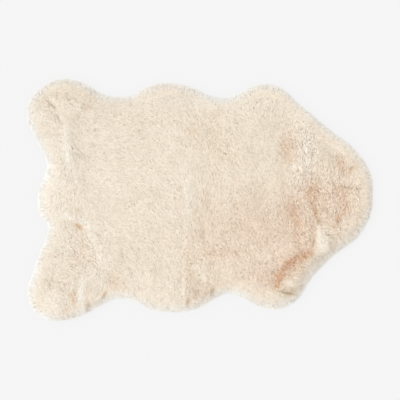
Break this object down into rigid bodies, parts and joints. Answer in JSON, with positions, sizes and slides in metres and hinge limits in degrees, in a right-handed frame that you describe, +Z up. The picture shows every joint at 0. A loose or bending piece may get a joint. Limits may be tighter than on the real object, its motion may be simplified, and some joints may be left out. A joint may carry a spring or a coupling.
{
  "type": "faux fur rug",
  "caption": "Cream faux fur rug with a wavy hide-shaped outline and soft deep pile, lying flat on the floor.",
  "frame": {"origin": "on the flat underside, at the middle of the rug's length and width", "axes": "+X along the length, from the wide end to the rounded nose; +Y across the rug; +Z up, out of the pile"},
  "size_m": [0.9, 0.629, 0.0309],
  "materials": {
    "fur": "soft matte cream pile, a little warmer towards the nose and in the creases"
  },
  "bodies": {
    "root": {"fur_rug": "fur"}
  },
  "joints": []
}
